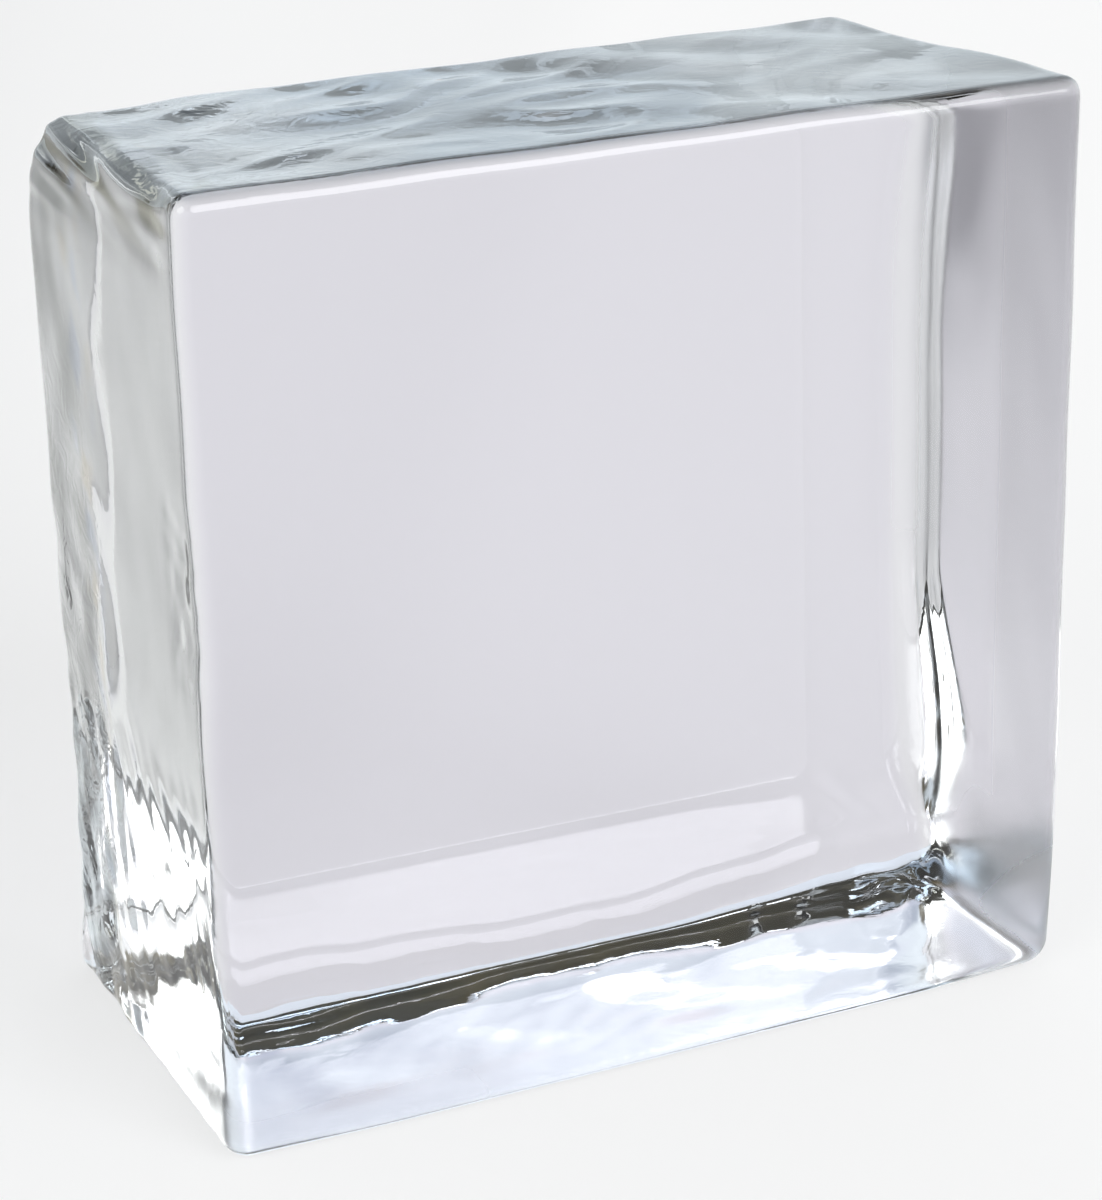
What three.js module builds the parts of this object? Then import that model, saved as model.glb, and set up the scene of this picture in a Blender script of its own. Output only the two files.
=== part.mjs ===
// Solid cast glass block, standing on its narrow lower side.
//
// Millimetres, +Z up. The origin is on the floor plane, at the middle of the footprint.
// X runs along the width, -Y is the fire-polished front face and +Y is the back face.
// The front and back faces are flat. The left, right and top sides carry the low waves of glass that
// chilled against its mould, and the lower side has the same waves sunk in inside a flat rim, its foot.
// Along the back, the glass did not fill the foot edge of its mould: that edge is cut off by a slack,
// slanting band that swells towards both ends and runs out before the left side.

import * as THREE from "three";

// ---- driving dimensions ----------------------------------------------------------------------------

const WIDTH = 190;
const DEPTH = 98;
const FRONT_HEIGHT = 196; // height of the top side at the front face
const BACK_HEIGHT = 191; // height of the top side at the back face

const FRONT_EDGE_RADIUS = 4; // fire-polished rim around the front face
const BACK_EDGE_RADIUS = 8; // soft rim around the back face
const LEFT_TOP_BACK_RADIUS = 10.5; // the back rim at its upper left corner
const LEFT_FOOT_BACK_RADIUS = 3; // the back rim at its lower left corner
const LEFT_FOOT_FRONT_RADIUS = 5.5; // the front rim at its lower left corner
const RIGHT_FOOT_BACK_RADIUS = 11.5; // the back rim at its lower right corner
const RIGHT_FOOT_FRONT_RADIUS = 6.5; // the front rim at its lower right corner
const CORNER_REACH = 38; // how far from a corner its own radius fades out
const BACK_EDGE_WANDER = 0.8; // how far the back rim's radius strays to each side of its mean
const BACK_EDGE_WANDER_LENGTH = 47; // along the rim, between two widest stretches of it

const SLACK_LEAST = 0.8; // how deep the slanting band cuts the back foot edge at its narrowest
const SLACK_MOST = 4.2; // the same at its widest
const SLACK_MIDDLE = 10; // place of the narrowest stretch along the width
const SLACK_LENGTH = 160; // along the width, between two widest stretches
const SLACK_SLANT = 61; // degrees that the band leans down from an upright wall
const SLACK_RUN = 12; // distance from the left side over which the band sinks in
const SLACK_FOOT_RADIUS = 1.5; // rounding between the band and the foot
const SLACK_REACH = 12; // height over the floor at which that rounding has given way to the back rim's

const SIDE_WAVE_HEIGHT = 0.35; // mean plane to crest, on the left and right sides
const SIDE_WAVE_LENGTH = 44; // crest to crest, up the side
const TOP_WAVE_HEIGHT = 0.45; // mean plane to crest, on the top side
const TOP_WAVE_LENGTH = 38; // crest to crest, along the width
const CROSS_WAVE_LENGTH = 61; // crest to crest of the slower wave that runs through the depth

const RIGHT_SINK = 4.2; // how far the right side sinks in, at its back edge
const RIGHT_SINK_START = 30; // height over the floor at which that sink starts
const RIGHT_SINK_RUN = 48; // height over which it deepens above its start, and fades below the top

const FOOT_RIM_WIDTH = 20; // flat foot around the lower side, measured from the block's outline
const FOOT_HOLLOW = 0.8; // deepest hollow of the lower side inside its foot
const FOOT_HOLLOW_RUN = 12; // distance over which the hollows grow to their full depth

const RIM_STEPS = 4; // facets from a flat side to the middle of a rounded edge
const FACET_SIDE = 9.5; // longest side of a facet on the broad faces

// ---- the surface of the block ----------------------------------------------------------------------

const HALF_WIDTH = WIDTH / 2;
const HALF_DEPTH = DEPTH / 2;
const FULL_TURN = 2 * Math.PI;
const TOP_SLOPE = Math.atan2(FRONT_HEIGHT - BACK_HEIGHT, DEPTH);

// A sharp-edged core lies this far inside the flat sides, as deep as the widest rounding reaches.
const CORE_INSET = Math.max(LEFT_TOP_BACK_RADIUS, RIGHT_FOOT_BACK_RADIUS) + BACK_EDGE_WANDER;

const topHeight = (y) => FRONT_HEIGHT - (y + HALF_DEPTH) * Math.tan(TOP_SLOPE);

const smoothstep = (value) => {
  const share = Math.min(Math.max(value, 0), 1);
  return share * share * (3 - 2 * share);
};

// Low wave over a side, between -1 and 1. A quick wave runs along the side and is bent by a slow one
// across it, and a third wave keeps the crests from repeating.
const chillWave = (along, across, length, phase) => {
  const bend = Math.sin((FULL_TURN * across) / CROSS_WAVE_LENGTH + phase);
  const quick = Math.sin((FULL_TURN * along) / length + phase + 1.4 * bend);
  const slow = Math.sin((FULL_TURN * (along + 0.8 * across)) / (1.9 * length) + 2.3 * phase);
  return 0.6 * quick + 0.4 * slow;
};

// Hollow of the lower side: none on the foot, and waves of growing depth inside it.
const footHollow = (x, y) => {
  const fromOutline = Math.min(HALF_WIDTH - Math.abs(x), HALF_DEPTH - Math.abs(y));
  const wave = chillWave(x, y, TOP_WAVE_LENGTH, 0.7);
  return FOOT_HOLLOW * smoothstep((fromOutline - FOOT_RIM_WIDTH) / FOOT_HOLLOW_RUN) * (0.5 + 0.5 * wave);
};

// Sink of the right side: none along the front face, deepest half way up the back edge.
const rightSink = (y, z) => {
  const above = smoothstep((z - RIGHT_SINK_START) / RIGHT_SINK_RUN);
  const below = smoothstep((BACK_HEIGHT - z) / RIGHT_SINK_RUN);
  return RIGHT_SINK * above * below * smoothstep(0.5 + y / DEPTH);
};

// How near a point is to a corner of the block's outline: 1 at the corner, 0 beyond its reach.
const nearCorner = (x, z, cornerX, cornerZ) =>
  smoothstep(1 - Math.hypot(x - cornerX, z - cornerZ) / CORNER_REACH);

// The slack band's share of its full depth, which grows from nothing at the left side.
const slackRun = (x) => smoothstep((x + HALF_WIDTH) / SLACK_RUN);

const blend = (from, to, share) => from + (to - from) * share;

// Radius of the rounded edges near a point. It grows from the front rim to the back rim, strays a little
// along the back rim, and has its own value at four corners and below the slack band.
const edgeRadius = (x, y, z) => {
  const turn = FULL_TURN / BACK_EDGE_WANDER_LENGTH;
  const stray = 0.5 * Math.sin(turn * (x - z)) + 0.5 * Math.sin(1.7 * turn * (x + z));
  const leftTop = nearCorner(x, z, -HALF_WIDTH, BACK_HEIGHT);
  const leftFoot = nearCorner(x, z, -HALF_WIDTH, 0);
  const rightFoot = nearCorner(x, z, HALF_WIDTH, 0);
  let backRadius = BACK_EDGE_RADIUS + BACK_EDGE_WANDER * stray;
  backRadius += (LEFT_TOP_BACK_RADIUS - BACK_EDGE_RADIUS) * leftTop;
  backRadius += (RIGHT_FOOT_BACK_RADIUS - BACK_EDGE_RADIUS) * rightFoot;
  backRadius = blend(backRadius, LEFT_FOOT_BACK_RADIUS, leftFoot);
  let frontRadius = blend(FRONT_EDGE_RADIUS, RIGHT_FOOT_FRONT_RADIUS, rightFoot);
  frontRadius += (LEFT_FOOT_FRONT_RADIUS - FRONT_EDGE_RADIUS) * leftFoot;
  const back = smoothstep(0.5 + y / DEPTH);
  const underSlack = slackRun(-Math.abs(x)) * smoothstep(1 - z / SLACK_REACH) * back;
  return blend(blend(frontRadius, backRadius, back), SLACK_FOOT_RADIUS, underSlack);
};

// Distance outside the back side, which bends in to the slack band above the back foot edge.
const backSide = (x, y, z) => {
  const slant = THREE.MathUtils.degToRad(SLACK_SLANT);
  const swell = 0.5 - 0.5 * Math.cos((FULL_TURN * (x - SLACK_MIDDLE)) / SLACK_LENGTH);
  const ripple = 0.1 * Math.sin((FULL_TURN * x) / (0.2 * SLACK_LENGTH) + 0.6);
  const cut = blend(SLACK_LEAST, SLACK_MOST, swell + ripple) * slackRun(x);
  const radius = BACK_EDGE_RADIUS * slackRun(x);
  const wall = y - HALF_DEPTH + radius;
  const band = (y - HALF_DEPTH) * Math.cos(slant) - z * Math.sin(slant) + cut + radius;
  return Math.min(Math.max(wall, band), 0) + Math.hypot(Math.max(wall, 0), Math.max(band, 0)) - radius;
};

// Distance of a point outside the block, negative inside it: six nearly flat sides that meet in
// rounded edges and corners.
const distanceOutside = ({ x, y, z }) => {
  const left = -x - HALF_WIDTH - SIDE_WAVE_HEIGHT * chillWave(z, y, SIDE_WAVE_LENGTH, 2.1);
  const rightWave = SIDE_WAVE_HEIGHT * chillWave(z, y, SIDE_WAVE_LENGTH, 5.2);
  const right = x - HALF_WIDTH + rightSink(y, z) - rightWave;
  const topWave = TOP_WAVE_HEIGHT * chillWave(x, y, TOP_WAVE_LENGTH, 3.6);
  const top = (z - topHeight(y)) * Math.cos(TOP_SLOPE) - topWave;
  const bottom = footHollow(x, y) - z;

  const radius = edgeRadius(x, y, z);
  const beyondX = Math.max(left, right) + radius;
  const beyondY = Math.max(-y - HALF_DEPTH, backSide(x, y, z)) + radius;
  const beyondZ = Math.max(top, bottom) + radius;
  const fromRounding = Math.hypot(Math.max(beyondX, 0), Math.max(beyondY, 0), Math.max(beyondZ, 0));
  return Math.min(Math.max(beyondX, beyondY, beyondZ), 0) + fromRounding - radius;
};

// ---- the grid of the sharp-edged box ---------------------------------------------------------------

const faceSteps = (length) => Math.max(2, Math.ceil((length - 2 * CORE_INSET) / FACET_SIDE));

// Facets along X, Y and Z: the even ones of the face, and the rims at both of its ends.
const FACE_STEPS = [WIDTH, DEPTH, FRONT_HEIGHT].map(faceSteps);
const LAST_NODE = FACE_STEPS.map((steps) => steps + 2 * RIM_STEPS);

// Place of a grid line between low and high. The lines are even over the face, and over a rounded edge
// they are the equal angles of its arc, cast on the sharp edge.
const gridLine = (node, axis, low, high) => {
  const steps = FACE_STEPS[axis];
  const castArc = (share) => CORE_INSET * Math.tan((Math.PI / 4) * share);
  if (node < RIM_STEPS) {
    return low + CORE_INSET - castArc(1 - node / RIM_STEPS);
  }
  if (node > RIM_STEPS + steps) {
    return high - CORE_INSET + castArc((node - RIM_STEPS - steps) / RIM_STEPS);
  }
  return low + CORE_INSET + ((node - RIM_STEPS) / steps) * (high - low - 2 * CORE_INSET);
};

const insideCore = (value, low, high) => Math.min(Math.max(value, low + CORE_INSET), high - CORE_INSET);

// Point of the block's surface that belongs to a grid node. From the nearest point of the core it goes
// out towards the node on the sharp box, and halving finds where it leaves the block.
const surfacePoint = (nodes) => {
  const y = gridLine(nodes[1], 1, -HALF_DEPTH, HALF_DEPTH);
  const height = topHeight(y);
  const sharp = new THREE.Vector3(
    gridLine(nodes[0], 0, -HALF_WIDTH, HALF_WIDTH),
    y,
    gridLine(nodes[2], 2, 0, height),
  );
  const core = new THREE.Vector3(
    insideCore(sharp.x, -HALF_WIDTH, HALF_WIDTH),
    insideCore(sharp.y, -HALF_DEPTH, HALF_DEPTH),
    insideCore(sharp.z, 0, height),
  );
  const outward = sharp.clone().sub(core).normalize();
  let inner = 0;
  let outer = 2 * CORE_INSET;
  for (let halving = 0; halving < 40; halving += 1) {
    const middle = (inner + outer) / 2;
    if (distanceOutside(core.clone().addScaledVector(outward, middle)) < 0) {
      inner = middle;
    } else {
      outer = middle;
    }
  }
  return core.addScaledVector(outward, inner);
};

// ---- the closed skin -------------------------------------------------------------------------------

// The six sides of the grid: the axis that each one crosses, its end of that axis, and the two axes
// that run along it, in the order that turns its facets outwards.
const SIDES = [
  { axis: 0, end: 0, across: 2, up: 1 },
  { axis: 0, end: LAST_NODE[0], across: 1, up: 2 },
  { axis: 1, end: 0, across: 0, up: 2 },
  { axis: 1, end: LAST_NODE[1], across: 2, up: 0 },
  { axis: 2, end: 0, across: 1, up: 0 },
  { axis: 2, end: LAST_NODE[2], across: 0, up: 1 },
];

// Two facets for each grid cell of each side. A node on an edge is one vertex for all its sides.
const blockGeometry = () => {
  const positions = [];
  const facets = [];
  const vertexOfNode = new Map();

  const vertex = (nodes) => {
    const name = nodes.join();
    if (!vertexOfNode.has(name)) {
      vertexOfNode.set(name, vertexOfNode.size);
      positions.push(...surfacePoint(nodes).toArray());
    }
    return vertexOfNode.get(name);
  };

  for (const { axis, end, across, up } of SIDES) {
    const corner = (acrossNode, upNode) => {
      const nodes = [0, 0, 0];
      nodes[axis] = end;
      nodes[across] = acrossNode;
      nodes[up] = upNode;
      return vertex(nodes);
    };
    for (let i = 0; i < LAST_NODE[across]; i += 1) {
      for (let j = 0; j < LAST_NODE[up]; j += 1) {
        const lowLeft = corner(i, j);
        const lowRight = corner(i + 1, j);
        const highRight = corner(i + 1, j + 1);
        const highLeft = corner(i, j + 1);
        facets.push(lowLeft, lowRight, highRight);
        facets.push(lowLeft, highRight, highLeft);
      }
    }
  }

  const geometry = new THREE.BufferGeometry();
  geometry.setAttribute("position", new THREE.Float32BufferAttribute(positions, 3));
  geometry.setIndex(facets);
  geometry.computeVertexNormals();
  return geometry;
};

// ---- the scene graph -------------------------------------------------------------------------------

const clearGlass = new THREE.MeshStandardMaterial({
  color: 0xd6d9dc,
  roughness: 0.05,
  metalness: 0,
  transparent: true,
  opacity: 0.55,
});

const glassBlock = new THREE.Mesh(blockGeometry(), clearGlass);
glassBlock.name = "glass_block";

const part = new THREE.Group();
part.add(glassBlock);

export default part;
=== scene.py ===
"""Clear cast glass block on a pale studio floor.

Everything is in metres, in the frame of the construction model: +Z up, the origin under the middle of the
block, -Y out of the fire-polished front face. The block's skin is worked out here as one fine surface, with
the chill waves and ripples that glass takes from its mould, and it stands for the plain node glass_block.
"""

import logging
import math
from dataclasses import dataclass
from enum import Enum, IntEnum
from typing import Any

import bpy
import numpy as np
from mathutils import Matrix, Vector


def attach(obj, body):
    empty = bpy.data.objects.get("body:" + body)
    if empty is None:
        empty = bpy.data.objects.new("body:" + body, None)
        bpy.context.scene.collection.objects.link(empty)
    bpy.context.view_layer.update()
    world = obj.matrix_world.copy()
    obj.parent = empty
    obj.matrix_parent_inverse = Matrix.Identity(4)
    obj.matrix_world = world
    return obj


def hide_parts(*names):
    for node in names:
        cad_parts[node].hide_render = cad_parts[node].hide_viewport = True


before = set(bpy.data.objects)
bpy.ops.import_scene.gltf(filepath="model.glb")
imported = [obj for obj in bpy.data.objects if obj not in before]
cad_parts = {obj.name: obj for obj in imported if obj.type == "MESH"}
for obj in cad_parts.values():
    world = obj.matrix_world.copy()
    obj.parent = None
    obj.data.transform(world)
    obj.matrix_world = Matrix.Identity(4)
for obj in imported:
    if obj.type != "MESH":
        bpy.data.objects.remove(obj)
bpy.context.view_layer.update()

log = logging.getLogger("glass_block")

FULL_TURN = 2.0 * math.pi

Color = tuple[float, float, float]
Heading = tuple[float, float, float]


# ---- shader maths ----


class Signal:
    """A shader socket that adds, subtracts and multiplies like a number."""

    def __init__(self, graph: "Graph", socket: bpy.types.NodeSocket) -> None:
        """Keep the socket and the graph that new Math nodes are added to.

        Args:
            graph: The graph that holds the socket.
            socket: The output socket that carries the value.
        """
        self.graph = graph
        self.socket = socket

    def math(self, operation: str, *operands: Any) -> "Signal":
        """Add one Math node with this value first.

        Args:
            operation: Name of the Math node's operation.
            *operands: The other values, as numbers or signals.

        Returns:
            The node's result.
        """
        inputs = {0: self, **dict(enumerate(operands, 1))}
        node = self.graph.node("ShaderNodeMath", {"operation": operation}, inputs)
        return Signal(self.graph, node.outputs[0])

    def __add__(self, other: Any) -> "Signal":
        """Sum of this value and another."""
        return self.math("ADD", other)

    def __sub__(self, other: Any) -> "Signal":
        """Difference of this value and another."""
        return self.math("SUBTRACT", other)

    def __rsub__(self, other: Any) -> "Signal":
        """Difference with a number on the left."""
        return (self * -1.0) + other

    def __mul__(self, other: Any) -> "Signal":
        """Product of this value and another."""
        return self.math("MULTIPLY", other)

    __radd__ = __add__
    __rmul__ = __mul__

    def most(self, other: Any) -> "Signal":
        """The greater of this value and another."""
        return self.math("MAXIMUM", other)

    def ramp(self, start: float, full: float) -> "Signal":
        """Smooth step of this value: 0 up to the start, 1 from the full value on, in either direction.

        Args:
            start: Value where the step starts.
            full: Value where the step ends.

        Returns:
            The stepped value.
        """
        settings = {"interpolation_type": "SMOOTHSTEP"}
        inputs = {"Value": self, "From Min": start, "From Max": full}
        return self.graph.signal("ShaderNodeMapRange", "Result", settings, inputs)


class MixSocket(IntEnum):
    """Numbers of the Mix node's colour sockets, which share their names with its other sockets."""

    BELOW = 6
    ABOVE = 7
    RESULT = 2


class Graph:
    """Node tree of one material or world, with one method that adds any node."""

    def __init__(self, owner: bpy.types.ID) -> None:
        """Empty the owner's node tree.

        Args:
            owner: The material or world that carries the nodes.
        """
        owner.use_nodes = True
        self.tree = owner.node_tree
        self.tree.nodes.clear()

    def node(self, kind: str, settings: dict[str, Any], inputs: dict[Any, Any]) -> bpy.types.Node:
        """Add a node, set it up and feed its sockets.

        Args:
            kind: Blender's type name of the node.
            settings: Properties of the node, set before its sockets.
            inputs: Values, signals or sockets by input name or number.

        Returns:
            The new node.
        """
        node = self.tree.nodes.new(kind)
        for name, value in settings.items():
            setattr(node, name, value)
        for name, value in inputs.items():
            if isinstance(value, Signal):
                value = value.socket
            if isinstance(value, bpy.types.NodeSocket):
                self.tree.links.new(value, node.inputs[name])
            else:
                node.inputs[name].default_value = value
        return node

    def signal(self, kind: str, output: str, settings: dict[str, Any], inputs: dict[Any, Any]) -> Signal:
        """Add a node and return one of its outputs as a signal.

        Args:
            kind: Blender's type name of the node.
            output: Name of the output socket.
            settings: Properties of the node.
            inputs: Values, signals or sockets by input name or number.

        Returns:
            The output as a signal.
        """
        return Signal(self, self.node(kind, settings, inputs).outputs[output])

    def mix(self, share: Any, below: Any, above: Any) -> bpy.types.NodeSocket:
        """Mix two colours: the first less the share of it, plus the share of the second.

        Args:
            share: Signal or number from 0 to 1.
            below: Colour at a share of 0, as red, green and blue or as a socket.
            above: Colour at a share of 1, likewise.

        Returns:
            The mixed colour.
        """
        inputs = {"Factor": share, MixSocket.BELOW: opaque(below), MixSocket.ABOVE: opaque(above)}
        return self.node("ShaderNodeMix", {"data_type": "RGBA"}, inputs).outputs[MixSocket.RESULT]

    def along(self, place: bpy.types.NodeSocket, way: Heading) -> Signal:
        """Dot product of a vector with a heading: how far it reaches that way.

        Args:
            place: Socket that carries the vector.
            way: Unit vector of the heading.

        Returns:
            The product as a signal.
        """
        settings = {"operation": "DOT_PRODUCT"}
        return self.signal("ShaderNodeVectorMath", "Value", settings, {0: place, 1: way})


def opaque(color: Any) -> Any:
    """A colour of three numbers with a full alpha; a socket is passed on."""
    return (*color, 1.0) if isinstance(color, tuple) else color


# ---- the block's surface ----


def smoothstep(value: np.ndarray) -> np.ndarray:
    """Rise from 0 to 1 with level ends, after 3 t squared less 2 t cubed.

    Args:
        value: Any numbers; those outside 0 to 1 are clamped first.

    Returns:
        The eased values.
    """
    share = np.clip(value, 0.0, 1.0)
    return share * share * (3.0 - 2.0 * share)


def between(low: Any, high: Any, share: Any) -> Any:
    """Value on the straight way from one value to another: low plus the share of their difference."""
    return low + (high - low) * share


@dataclass(frozen=True)
class Rise:
    """Smooth step along a coordinate: 0 up to its start, 1 from its full place on, in either direction."""

    start: float
    full: float

    def at(self, place: np.ndarray) -> np.ndarray:
        """Smooth step of how much of the way from the start to the full place is done."""
        return smoothstep((place - self.start) / (self.full - self.start))


@dataclass(frozen=True)
class Hump:
    """Smooth swell along a coordinate: 1 at its middle, 0 beyond its reach on both sides."""

    middle: float
    reach: float

    def at(self, place: np.ndarray) -> np.ndarray:
        """Smooth step of 1 less the distance from the middle over the reach."""
        return smoothstep(1.0 - np.abs(place - self.middle) / self.reach)


class Side(Enum):
    """The six sides of the block."""

    LEFT = "left"
    RIGHT = "right"
    FRONT = "front"
    BACK = "back"
    FOOT = "foot"
    TOP = "top"


class Axis(IntEnum):
    """The block's three axes, numbered as the columns of a table of points."""

    WIDTH = 0
    DEPTH = 1
    HEIGHT = 2


class SkinValue(Enum):
    """Values that the points of the skin carry for the glass, by the name of their attribute."""

    SATIN = "satin"
    CHILL = "chill"
    TONE = "tone"


@dataclass(frozen=True)
class ChillWave:
    """Low wave that the mould left on a side."""

    height: float
    length: float
    phase: float
    bend: float = 1.4
    bend_length: float = 0.061
    quick_share: float = 0.6
    slow_slant: float = 0.8
    slow_length: float = 1.9
    slow_phase: float = 2.3

    def at(self, along: np.ndarray, across: np.ndarray) -> np.ndarray:
        """Quick sine along the side, bent by a slow sine across it, plus a slower slanted sine.

        Args:
            along: Coordinate along the side.
            across: Coordinate across it.

        Returns:
            Heights, up to the wave's height to either side of 0.
        """
        bend = self.bend * np.sin(FULL_TURN * across / self.bend_length + self.phase)
        quick = np.sin(FULL_TURN * along / self.length + self.phase + bend)
        slanted = FULL_TURN * (along + self.slow_slant * across) / (self.slow_length * self.length)
        slow = np.sin(slanted + self.slow_phase * self.phase)
        return self.height * between(slow, quick, self.quick_share)


@dataclass(frozen=True)
class BlockSizes:
    """Driving sizes of the block, in metres; slants and phases are in degrees and radians."""

    width: float = 0.190
    depth: float = 0.098
    front_height: float = 0.196
    back_height: float = 0.191
    front_edge_radius: float = 0.004
    back_edge_radius: float = 0.008
    right_front_foot_radius: float = 0.0065
    right_back_foot_radius: float = 0.0070
    left_front_foot_radius: float = 0.0055
    left_back_foot_radius: float = 0.0030
    left_top_radius: float = 0.0105
    corner_reach: float = 0.038
    edge_wander: float = 0.0008
    edge_wander_length: float = 0.047
    edge_wander_ratio: float = 1.7
    right_back_edge_radius: float = 0.0115
    right_back_edge_reach: float = 0.030
    right_back_edge_above: Rise = Rise(0.012, 0.032)
    right_back_edge_below: Rise = Rise(0.180, 0.160)
    right_back_swell: float = 0.0035
    right_back_swell_place: Hump = Hump(0.036, 0.040)
    slack_least: float = 0.0008
    slack_most: float = 0.0042
    slack_middle: float = 0.010
    slack_length: float = 0.160
    slack_flutter: float = 0.1
    slack_flutter_length: float = 0.032
    slack_flutter_phase: float = 0.6
    slack_slant: float = 61.0
    slack_lean: float = 0.0018
    slack_lean_run: Rise = Rise(0.0, 0.070)
    slack_run: Rise = Rise(0.0, 0.012)
    slack_least_radius: float = 1e-6
    slack_foot_radius: float = 0.0015
    slack_foot_below: Rise = Rise(0.012, 0.0)
    left_wave: ChillWave = ChillWave(0.00022, 0.044, 2.1)
    right_wave: ChillWave = ChillWave(0.00014, 0.044, 5.2)
    top_wave: ChillWave = ChillWave(0.00045, 0.038, 3.6)
    top_wave_run: Rise = Rise(0.0, 0.020)
    top_wave_edge: float = 0.3
    right_sink: float = 0.0042
    right_sink_above: Rise = Rise(0.030, 0.078)
    right_sink_below: Rise = Rise(0.191, 0.143)
    right_sink_back: Rise = Rise(0.0, 0.049)
    foot_wave: ChillWave = ChillWave(0.0004, 0.038, 0.7)
    foot_hollow_run: Rise = Rise(0.020, 0.032)
    foot_lift: float = 0.0015
    foot_lift_right: Rise = Rise(0.020, 0.065)
    foot_lift_back: Rise = Rise(0.0, 0.040)
    rim_steps: int = 20
    facet_side: float = 0.00165
    seat_halvings: int = 36

    @property
    def core_inset(self) -> float:
        """How far the sharp-edged core lies inside the flat sides."""
        swollen = self.right_back_edge_radius + self.right_back_swell
        return max(self.left_top_radius, swollen) + self.edge_wander


@dataclass(frozen=True)
class Ripple:
    """One kind of small ripple that the mould left on a side."""

    height: float
    along: float
    across: float
    slant: float
    seed: int
    ridged: bool = False
    cells: int = 64
    ridge_gain: float = 1.6
    middle: float = 0.5
    swing: float = 0.7

    def field(self, u: np.ndarray, v: np.ndarray) -> np.ndarray:
        """Gradient noise: slopes at the corners of a grid of cells, blended by the quintic fade in between.

        The fade is 6 t to the fifth less 15 t to the fourth plus 10 t cubed.

        Args:
            u: Coordinate that the ripple's long axis is measured from.
            v: Coordinate across it.

        Returns:
            Depths from 0 to the ripple's height; a ridged one is the noise folded at its zero line.
        """
        turn = math.radians(self.slant)
        p = (u * math.cos(turn) + v * math.sin(turn)) / self.along
        q = (v * math.cos(turn) - u * math.sin(turn)) / self.across
        angles = np.random.default_rng(self.seed).uniform(0.0, FULL_TURN, (self.cells, self.cells))
        low_p, low_q = np.floor(p).astype(np.int64), np.floor(q).astype(np.int64)
        part_p, part_q = p - low_p, q - low_q
        fade_p = part_p**3 * (part_p * (part_p * 6.0 - 15.0) + 10.0)
        fade_q = part_q**3 * (part_q * (part_q * 6.0 - 15.0) + 10.0)

        def corner(step_p: int, step_q: int) -> np.ndarray:
            """Rise from one cell corner along its slope."""
            angle = angles[(low_p + step_p) % self.cells, (low_q + step_q) % self.cells]
            return np.cos(angle) * (part_p - step_p) + np.sin(angle) * (part_q - step_q)

        near = corner(0, 0) * (1.0 - fade_p) + corner(1, 0) * fade_p
        far = corner(0, 1) * (1.0 - fade_p) + corner(1, 1) * fade_p
        noise = near * (1.0 - fade_q) + far * fade_q
        depth = np.abs(noise) * self.ridge_gain if self.ridged else self.middle + self.swing * noise
        return self.height * depth


@dataclass(frozen=True)
class MouldRelief:
    """Small ripples of the four chilled sides and the slack edge, all sunk into the glass."""

    left_calm: Ripple = Ripple(0.00010, 0.020, 0.011, 0.0, 11)
    left_rough: Ripple = Ripple(0.00150, 0.0135, 0.0100, 12.0, 23)
    rough_back: Rise = Rise(0.008, 0.024)
    rough_below: Rise = Rise(0.135, 0.085)
    rough_front_share: float = 0.03
    rough_high_share: float = 0.10
    left_low: Ripple = Ripple(0.00050, 0.0160, 0.0050, 18.0, 41)
    low_below: Rise = Rise(0.084, 0.070)
    left_beads: Ripple = Ripple(0.00050, 0.0060, 0.0050, -20.0, 31)
    beads_front: Rise = Rise(-0.030, -0.036)
    beads_below: Rise = Rise(0.140, 0.128)
    beads_above: Rise = Rise(0.092, 0.104)
    right: Ripple = Ripple(0.00012, 0.034, 0.014, 8.0, 5)
    top_broad: Ripple = Ripple(0.00170, 0.040, 0.026, 20.0, 47, True)
    top_fine: Ripple = Ripple(0.00009, 0.0150, 0.0100, -15.0, 61)
    top_right: Rise = Rise(0.005, 0.040)
    top_right_share: float = 0.25
    top_twist: Ripple = Ripple(0.00070, 0.013, 0.009, 40.0, 71)
    twist_end: Rise = Rise(-0.045, -0.075)
    top_in_depth: Rise = Rise(0.048, 0.026)
    top_in_width: Rise = Rise(0.094, 0.072)
    braid: Ripple = Ripple(0.00110, 0.034, 0.0048, 6.0, 29)
    braid_near: Rise = Rise(0.021, 0.006)
    braid_clear: Rise = Rise(-0.004, -0.016)
    foot: Ripple = Ripple(0.00030, 0.013, 0.0075, 50.0, 83)
    foot_run: Rise = Rise(0.006, 0.026)
    slack: Ripple = Ripple(0.00055, 0.0060, 0.0300, 0.0, 97)

    def left(self, y: np.ndarray, z: np.ndarray) -> np.ndarray:
        """Depth of the ripples on the left side: calm in front, rough near the back and low down.

        Args:
            y: Depth coordinate.
            z: Height coordinate.

        Returns:
            Depths below the side.
        """
        back = self.rough_back.at(y) * between(self.rough_high_share, 1.0, self.rough_below.at(z))
        rough = self.left_rough.field(z, y) * between(self.rough_front_share, 1.0, back)
        beads = self.beads_front.at(y) * self.beads_below.at(z) * self.beads_above.at(z)
        low = self.left_low.field(z, y) * self.low_below.at(z)
        return self.left_calm.field(z, y) + rough + self.left_beads.field(z, y) * beads + low

    def top(self, x: np.ndarray, y: np.ndarray) -> np.ndarray:
        """Depth of the ripples on the top: folded broad ones, fine ones, and a twisted patch at its left end.

        Args:
            x: Width coordinate.
            y: Depth coordinate.

        Returns:
            Depths below the top.
        """
        inside = self.top_in_depth.at(np.abs(y)) * self.top_in_width.at(np.abs(x))
        calm = between(1.0, self.top_right_share, self.top_right.at(x))
        broad = (self.top_broad.field(x, y) + self.top_fine.field(x, y)) * calm
        return (broad + self.top_twist.field(x, y) * self.twist_end.at(x)) * inside


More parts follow.
